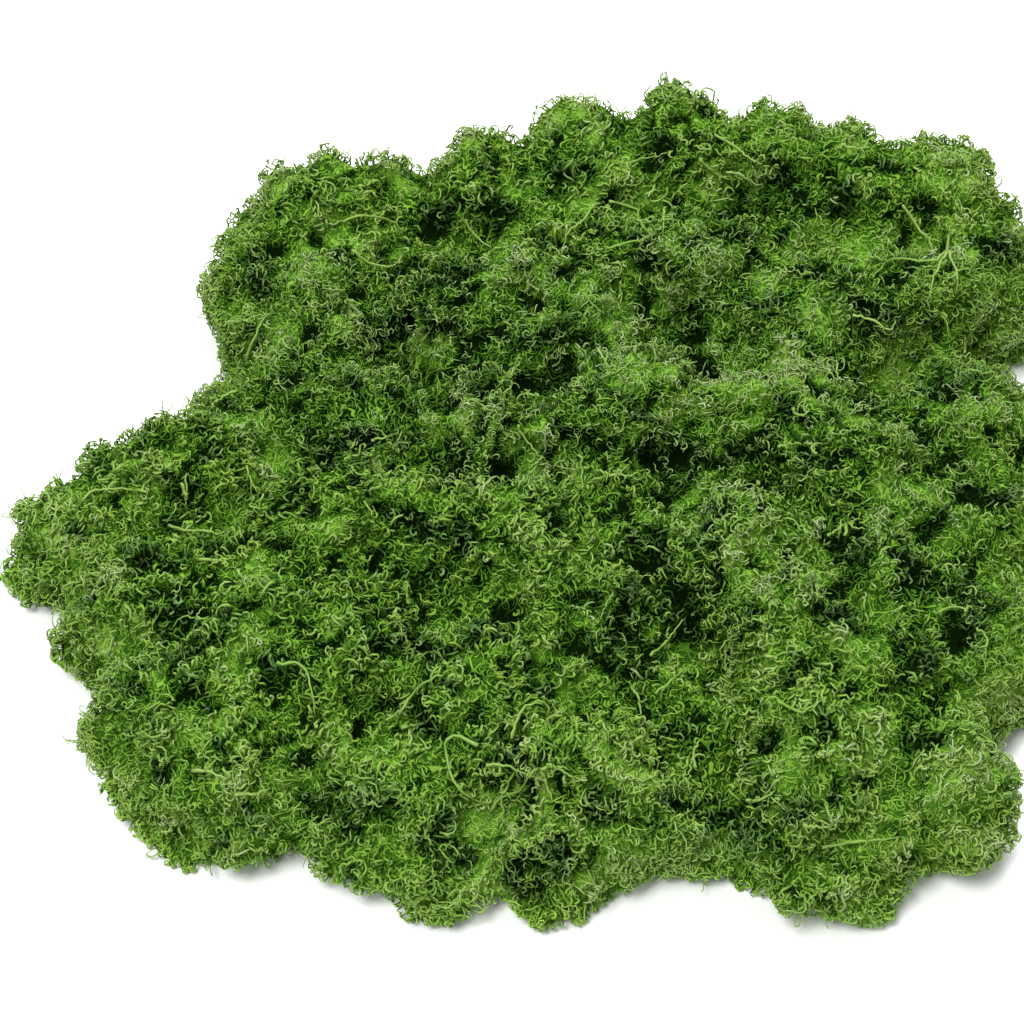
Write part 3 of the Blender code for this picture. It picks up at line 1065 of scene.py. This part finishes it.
def stems_mesh(rng, growth, stage, settings):
    """Pale stems that lie on the moss, with their forks."""
    paths, axes, share = (np.array(item) for item in zip(*stem_paths(rng, growth, stage, settings)))
    taper = np.linspace(0.0, 1.0, STEM_SEGMENTS + 1)
    radii = settings.radius * share[:, None] * (1.0 - STEM_TAPER * taper[None])
    radii = radii * rng.uniform(*STEM_VARIES, radii.shape)
    paths = paths - axes * STEM_END_DROP * smooth_step(*STEM_END, taper)[None, :, None]
    paths[:, :, 2] = np.maximum(paths[:, :, 2], radii + FLOOR_GAP)
    paths += rng.normal(0.0, STEM_JITTER, paths.shape)
    tones = STEM_TONE + rng.normal(0.0, STEM_TONE_VARIES, (len(share), 1))
    tones = tones + rng.normal(0.0, STEM_TONE_JITTER, radii.shape)
    return strands_mesh("pale_stems", STEM_SIDES, paths, axes, radii, tones, np.full(len(share), STEM_FADE))


def sprigs_mesh(rng, growth, count):
    """Loose sprigs that stand out along the edge, each a few thin curled fibres."""
    places, normals = surface_samples(rng, growth.skin, count * SPRIG_PLACES)
    share = growth.rim(places) * (places[:, 2] > SPRIG_LEAST_HEIGHT) + OFF_RIM_SHARE
    edge = rng.choice(len(places), size=count, replace=False, p=share / share.sum())
    roots = np.repeat(places[edge], TWIGS, axis=0)
    facing = np.repeat(normals[edge], TWIGS, axis=0)
    total = len(roots)
    heading = unit(facing + SPRIG_SPREAD * unit(rng.normal(size=(total, 3))) + SPRIG_RISE)
    axis = unit(across(rng.normal(size=(total, 3)), heading))
    bend, run = curl_plan(rng, rng.uniform(*SPRIG_LOOP, total), SPRIG_STRAIGHT)
    paths, axes = bent_paths(heading, axis, bend, run, np.zeros(total))
    paths += (roots - facing * SPRIG_ROOT)[:, None]
    taper = np.linspace(0.0, 1.0, SEGMENTS + 1)
    radii = rng.uniform(*SPRIG_RADIUS, total)[:, None] * (1.0 - FIBRE_TAPER * taper[None])
    keep_above_floor(paths, radii)
    tones = SPRIG_TONE + rng.normal(0.0, SPRIG_TONE_VARIES, (total, 1)) + SPRIG_TIP_LIGHT * taper[None]
    return strands_mesh("edge_sprigs", FIBRE_SIDES, paths, axes, radii, tones, np.full(total, SPRIG_PAINTED_LIGHT))


class Graph:
    """One material's nodes, added step by step."""

    def __init__(self, name):
        self.material = bpy.data.materials.new(name)
        self.material.use_nodes = True
        self.nodes = self.material.node_tree.nodes
        self.links = self.material.node_tree.links
        self.shader = self.nodes["Principled BSDF"]
        self.place = self.nodes.new("ShaderNodeTexCoord").outputs["Object"]

    def step(self, kind, result, inputs, **settings):
        """Add a node with its inputs, plain values or other steps' results, and return its result."""
        node = self.nodes.new("ShaderNode" + kind)
        for name, value in settings.items():
            setattr(node, name, value)
        for name, value in inputs.items():
            if isinstance(value, bpy.types.NodeSocket):
                self.links.new(value, node.inputs[name])
            else:
                node.inputs[name].default_value = value
        return node.outputs[result]

    def attribute(self, name):
        """A number that the mesh's vertices hold."""
        return self.step("Attribute", "Fac", {}, attribute_name=name)

    def math(self, operation, first, second=0.0):
        """Arithmetic on two values."""
        return self.step("Math", "Value", {0: first, 1: second}, operation=operation)

    def noise(self, place, spots, detail=0.0, result="Fac"):
        """Soft noise with a number of spots to a metre."""
        return self.step("TexNoise", result, {"Vector": place, "Scale": spots, "Detail": detail})

    def smooth_range(self, value, low, high):
        """A value brought smoothly to 0 at low and to 1 at high."""
        inputs = {"Value": value, "From Min": low, "From Max": high}
        return self.step("MapRange", "Result", inputs, interpolation_type="SMOOTHSTEP")

    def mixed(self, share, first, second):
        """First where the share is 0 and second where it is 1."""
        return self.step("Mix", "Result", {"Factor": share, "A": first, "B": second})

    def moss_colour(self, tone, colours):
        """The moss greens, from the deepest hollow to the palest tip."""
        colour = self.step("ValToRGB", "Color", {"Fac": tone})
        stops = colour.node.color_ramp.elements
        while len(stops) < len(COLOUR_STOPS):
            stops.new(0.5)
        for stop, (name, place) in zip(stops, COLOUR_STOPS.items()):
            stop.position = place
            stop.color = (*getattr(colours, name), 1.0)
        return colour


def fibre_material(name, colours):
    """Matt dyed fibre, coloured along each strand by its tone, which holds painted light and shade, and in
    soft patches, and brightened as painted light where its fade is below 0.
    """
    graph = Graph(name)
    fade = graph.attribute("fade")
    spots = graph.math("SUBTRACT", graph.noise(graph.place, TONE_SPOTS, detail=2.0), 0.5)
    tone = graph.math("ADD", graph.attribute("tone"), graph.math("MULTIPLY", spots, TONE_SPOT_STRENGTH))
    hue = graph.math("MULTIPLY", graph.noise(graph.place, HUE_SPOTS, detail=1.0), HUE_STRENGTH)
    # A fade below 0 brightens the colour as painted light
    painted_light = graph.math("ADD", graph.math("MULTIPLY", fade, PAINTED_LIGHT_GAIN), 1.0)
    tint = {
        "Hue": graph.math("ADD", hue, EVEN_HUE),
        "Saturation": graph.mixed(fade, 1.0, FADED_SATURATION),
        "Value": graph.math("MAXIMUM", painted_light, 1.0),
        "Color": graph.moss_colour(tone, colours),
    }
    gloss = graph.math("MULTIPLY", graph.smooth_range(tone, *GLOSS_RANGE), GLOSS)
    graph.links.new(graph.step("HueSaturation", "Color", tint), graph.shader.inputs["Base Color"])
    graph.links.new(gloss, graph.shader.inputs["Specular IOR Level"])
    graph.shader.inputs["Roughness"].default_value = FIBRE_ROUGHNESS
    return graph.material


def felt_layer(graph, below, place, layer):
    """The tone below with one layer of curls on it, each with a painted shadow along its edge and a painted
    highlight along its middle.
    """
    pattern, size, level, width, tone = layer
    if pattern == "rings":
        form = graph.step("TexVoronoi", "Distance", {"Vector": place, "Scale": 1.0 / size})
    else:
        form = graph.noise(place, 1.0 / size)
    away = graph.math("ABSOLUTE", graph.math("SUBTRACT", form, level))
    cover = graph.smooth_range(graph.noise(place, 1.0 / FELT_BREAK), *FELT_BREAK_RANGE)
    # Painted shadow along the curl's edge, and the curl itself, lighter in its middle as a painted
    # highlight
    edge = graph.smooth_range(away, *(width * share for share in FELT_SHADOW_EDGE))
    line = graph.smooth_range(away, *(width * share for share in FELT_LINE))
    shadowed = graph.mixed(graph.math("MULTIPLY", edge, cover), below, FELT_SHADOW_TONE)
    return graph.mixed(graph.math("MULTIPLY", line, cover), shadowed, tone)


def mat_material(colours):
    """Felted fibre: winding lines of flat curls, with painted shadows and highlights, over dark gaps."""
    graph = Graph("felted_fibre")
    warp = {0: graph.noise(graph.place, FELT_WARP_SPOTS, result="Color"), 1: FELT_WARP, 2: graph.place}
    place = graph.step("VectorMath", "Vector", warp, operation="MULTIPLY_ADD")
    felt = graph.math("MULTIPLY", graph.noise(place, 1.0 / FELT_GROUND), FELT_GROUND_TONE)
    for number, layer in enumerate(FELT_LAYERS):
        shift = FELT_SHIFT * (number + 1)
        moved = {0: place, 1: (shift, shift * 0.6, shift * 1.7)}
        felt = felt_layer(graph, felt, graph.step("VectorMath", "Vector", moved), layer)
    # In hollows and gaps the felt's curls are darkened as painted shade
    felt = graph.math("MULTIPLY", felt, graph.mixed(graph.attribute("fade"), 1.0, FELT_HOLLOW_SHARE))
    # On crowns the felt blends towards a lighter tone as painted light
    soft = graph.math("MULTIPLY", graph.attribute("soft"), FELT_CROWN_SOFTNESS)
    felt = graph.mixed(soft, felt, FELT_CROWN_TONE)
    colour = graph.moss_colour(graph.math("ADD", graph.attribute("tone"), felt), colours)
    graph.links.new(colour, graph.shader.inputs["Base Color"])
    graph.shader.inputs["Roughness"].default_value = FELT_ROUGHNESS
    graph.shader.inputs["Specular IOR Level"].default_value = 0.0
    return graph.material


def lay_floor():
    """A plain pale floor, which isn't part of the clump."""
    form = bmesh.new()
    bmesh.ops.create_grid(form, x_segments=1, y_segments=1, size=FLOOR_HALF_SIZE)
    floor = new_object("floor", keep_form(form, bpy.data.meshes.new("floor")))
    paint = bpy.data.materials.new("floor_white")
    paint.use_nodes = True
    shader = paint.node_tree.nodes["Principled BSDF"]
    shader.inputs["Base Color"].default_value = FLOOR_COLOUR
    shader.inputs["Roughness"].default_value = FLOOR_ROUGHNESS
    floor.data.materials.append(paint)


def add_area_light(name, place, size, power):
    """A square soft light that faces the middle of the clump."""
    lamp = bpy.data.lights.new(name, "AREA")
    lamp.size = size
    lamp.energy = power
    item = new_object(name, lamp)
    item.location = place
    item.rotation_euler = (-Vector(place)).to_track_quat("-Z", "Y").to_euler()


def light_world(scene):
    """Even white light from all around."""
    world = bpy.data.worlds.new("studio")
    world.use_nodes = True
    background = world.node_tree.nodes["Background"]
    background.inputs["Color"].default_value = WORLD_COLOUR
    background.inputs["Strength"].default_value = WORLD_STRENGTH
    scene.world = world
    scene.view_settings.view_transform = "Standard"


def place_camera(scene, settings):
    """The camera looks down on the moss as the photo does."""
    lens = bpy.data.cameras.new("camera")
    lens.lens = settings.lens
    camera = new_object("camera", lens)
    camera.location = LOOK_AT + camera_axes(settings)[0] * settings.distance
    camera.rotation_euler = (math.pi / 2 - settings.elevation, 0.0, 0.0)
    scene.camera = camera


class MOSS_OT_mat(bpy.types.Operator):
    """Make the felted mat inside the solid"""

    bl_idname = "moss.mat"
    bl_label = "Felted mat"

    def execute(self, context):
        settings = context.scene.moss_mat
        growth = Growth(context.scene)
        mesh = growth.skin
        open_underside(mesh)
        places, normals = mesh_points(mesh)
        at = growth.fields(places)

        # The mat sinks along its normals, and at its foot it draws in level with the floor
        depth = settings.depth + settings.gap_depth * at["gap"] - LUMP_RISE * at["lump"]
        depth += settings.hollow_depth * at["hollow"] - settings.crown_rise * at["crown"]
        foot = smooth_step(*FOOT_RANGE, places[:, 2])
        depth += foot * (settings.rim_depth - depth)
        outward = normals + foot[:, None] * (unit(normals * PLAN) - normals)
        places -= eased(mesh, outward * depth[:, None])
        places[:, 2] = np.maximum(places[:, 2], 0.0)
        mesh.vertices.foreach_set("co", places.ravel())
        mesh.update()

        # The felt's tone carries painted light on crowns, raised lumps and the rim, and painted shade in
        # hollows, gaps and low lumps
        tones = weighed(FELT_TONE, at)
        tones -= THIN_FELT_TONE * fineness_at(places, normals) * (1.0 - at["rim"]) * (1.0 - at["crown"])
        add_attribute(mesh, "tone", np.clip(tones, -FELT_TONE_LIMIT, FELT_TONE_LIMIT))
        # The felt's fade is painted shade in hollows and between tufts
        add_attribute(mesh, "fade", np.clip(weighed(FELT_FADE, at), 0.0, 1.0))
        # The crown's share, by which the felt blends towards a lighter tone as painted light
        add_attribute(mesh, "soft", at["crown"])
        close_underside(mesh)
        mesh.shade_smooth()
        mesh.name = "felted_mat"
        piece = new_object("felted_mat", mesh)
        finish_piece(piece, mat_material(context.scene.moss_colours))
        return {"FINISHED"}


class MOSS_OT_fibres(bpy.types.Operator):
    """Grow the curled fibres, one piece for each zone"""

    bl_idname = "moss.fibres"
    bl_label = "Curled fibres"

    def execute(self, context):
        settings = context.scene.moss_fibres
        rng = np.random.default_rng(SEED)
        growth = Growth(context.scene)
        places, normals = surface_samples(rng, growth.skin, sum(ZONES.values()) * SAMPLES_TO_A_FIBRE)
        fields = growth.fields(places)
        fields["fine"] = np.maximum(fineness_at(places, normals), RIM_FINENESS * fields["rim"])
        density = np.maximum(weighed(DENSITY, fields), LEAST_DENSITY)
        density *= 1.0 - LUMP_SHARE + LUMP_SHARE * smooth_step(*LUMP_SHARE_RANGE, fields["lump"])
        density *= 1.0 + RIM_GAIN * fields["rim"]
        density *= 1.0 - BACK_LOSS * smooth_step(*BACK_RANGE, normals[:, 1])
        zones = zone_of(places)
        material = fibre_material("moss_fibre_curled", context.scene.moss_colours)
        for zone, count in ZONES.items():
            inside = np.flatnonzero(zones == zone)
            share = density[inside] / density[inside].sum()
            pick = rng.choice(inside, size=count, replace=False, p=share)
            at = {field: values[pick] for field, values in fields.items()}
            middles = growth.tufts[at["tuft"]]
            strands = grow_fibres(rng, places[pick], normals[pick], at, middles, settings)
            name = zone + "_fibres"
            piece = new_object(name, strands_mesh(name, FIBRE_SIDES, *strands))
            finish_piece(piece, material)
        bpy.data.meshes.remove(growth.skin)
        return {"FINISHED"}


class MOSS_OT_stems(bpy.types.Operator):
    """Lay the pale stems on the moss and set loose sprigs along its edge"""

    bl_idname = "moss.stems"
    bl_label = "Stems and sprigs"

    def execute(self, context):
        settings = context.scene.moss_stems
        rng = np.random.default_rng(SEED + 1)
        growth = Growth(context.scene)
        material = fibre_material("moss_stem", context.scene.moss_colours)
        stems = stems_mesh(rng, growth, context.scene.moss_stage, settings)
        finish_piece(new_object("pale_stems", stems), material)
        sprigs = sprigs_mesh(rng, growth, settings.sprigs)
        finish_piece(new_object("edge_sprigs", sprigs), material)
        bpy.data.meshes.remove(growth.skin)
        return {"FINISHED"}


class MOSS_OT_stage(bpy.types.Operator):
    """Lay the floor and place the lights and the camera"""

    bl_idname = "moss.stage"
    bl_label = "Stage"

    def execute(self, context):
        lay_floor()
        for name, (place, size, power) in LIGHTS.items():
            add_area_light(name, place, size, power)
        light_world(context.scene)
        place_camera(context.scene, context.scene.moss_stage)
        return {"FINISHED"}


class MOSS_PT_panel(bpy.types.Panel):
    """Lists the clump's pieces and the stage"""

    bl_idname = "MOSS_PT_panel"
    bl_label = "Moss clump"
    bl_space_type = "VIEW_3D"
    bl_region_type = "UI"
    bl_category = "Moss"

    def draw(self, context):
        for operator in OPERATORS:
            self.layout.operator(operator.bl_idname)


OPERATORS = (MOSS_OT_mat, MOSS_OT_fibres, MOSS_OT_stems, MOSS_OT_stage)
SETTINGS = {
    "moss_mat": MossMatSettings,
    "moss_fibres": MossFibreSettings,
    "moss_stems": MossStemSettings,
    "moss_colours": MossColourSettings,
    "moss_stage": MossStageSettings,
}


def register():
    for group in SETTINGS.values():
        bpy.utils.register_class(group)
    for operator in OPERATORS:
        bpy.utils.register_class(operator)
    bpy.utils.register_class(MOSS_PT_panel)
    for name, group in SETTINGS.items():
        setattr(bpy.types.Scene, name, PointerProperty(type=group))


def unregister():
    for name in SETTINGS:
        delattr(bpy.types.Scene, name)
    bpy.utils.unregister_class(MOSS_PT_panel)
    for operator in reversed(OPERATORS):
        bpy.utils.unregister_class(operator)
    for group in reversed(list(SETTINGS.values())):
        bpy.utils.unregister_class(group)


def main():
    register()
    bpy.ops.moss.mat()
    bpy.ops.moss.fibres()
    bpy.ops.moss.stems()
    bpy.ops.moss.stage()


if __name__ == "__main__":
    main()
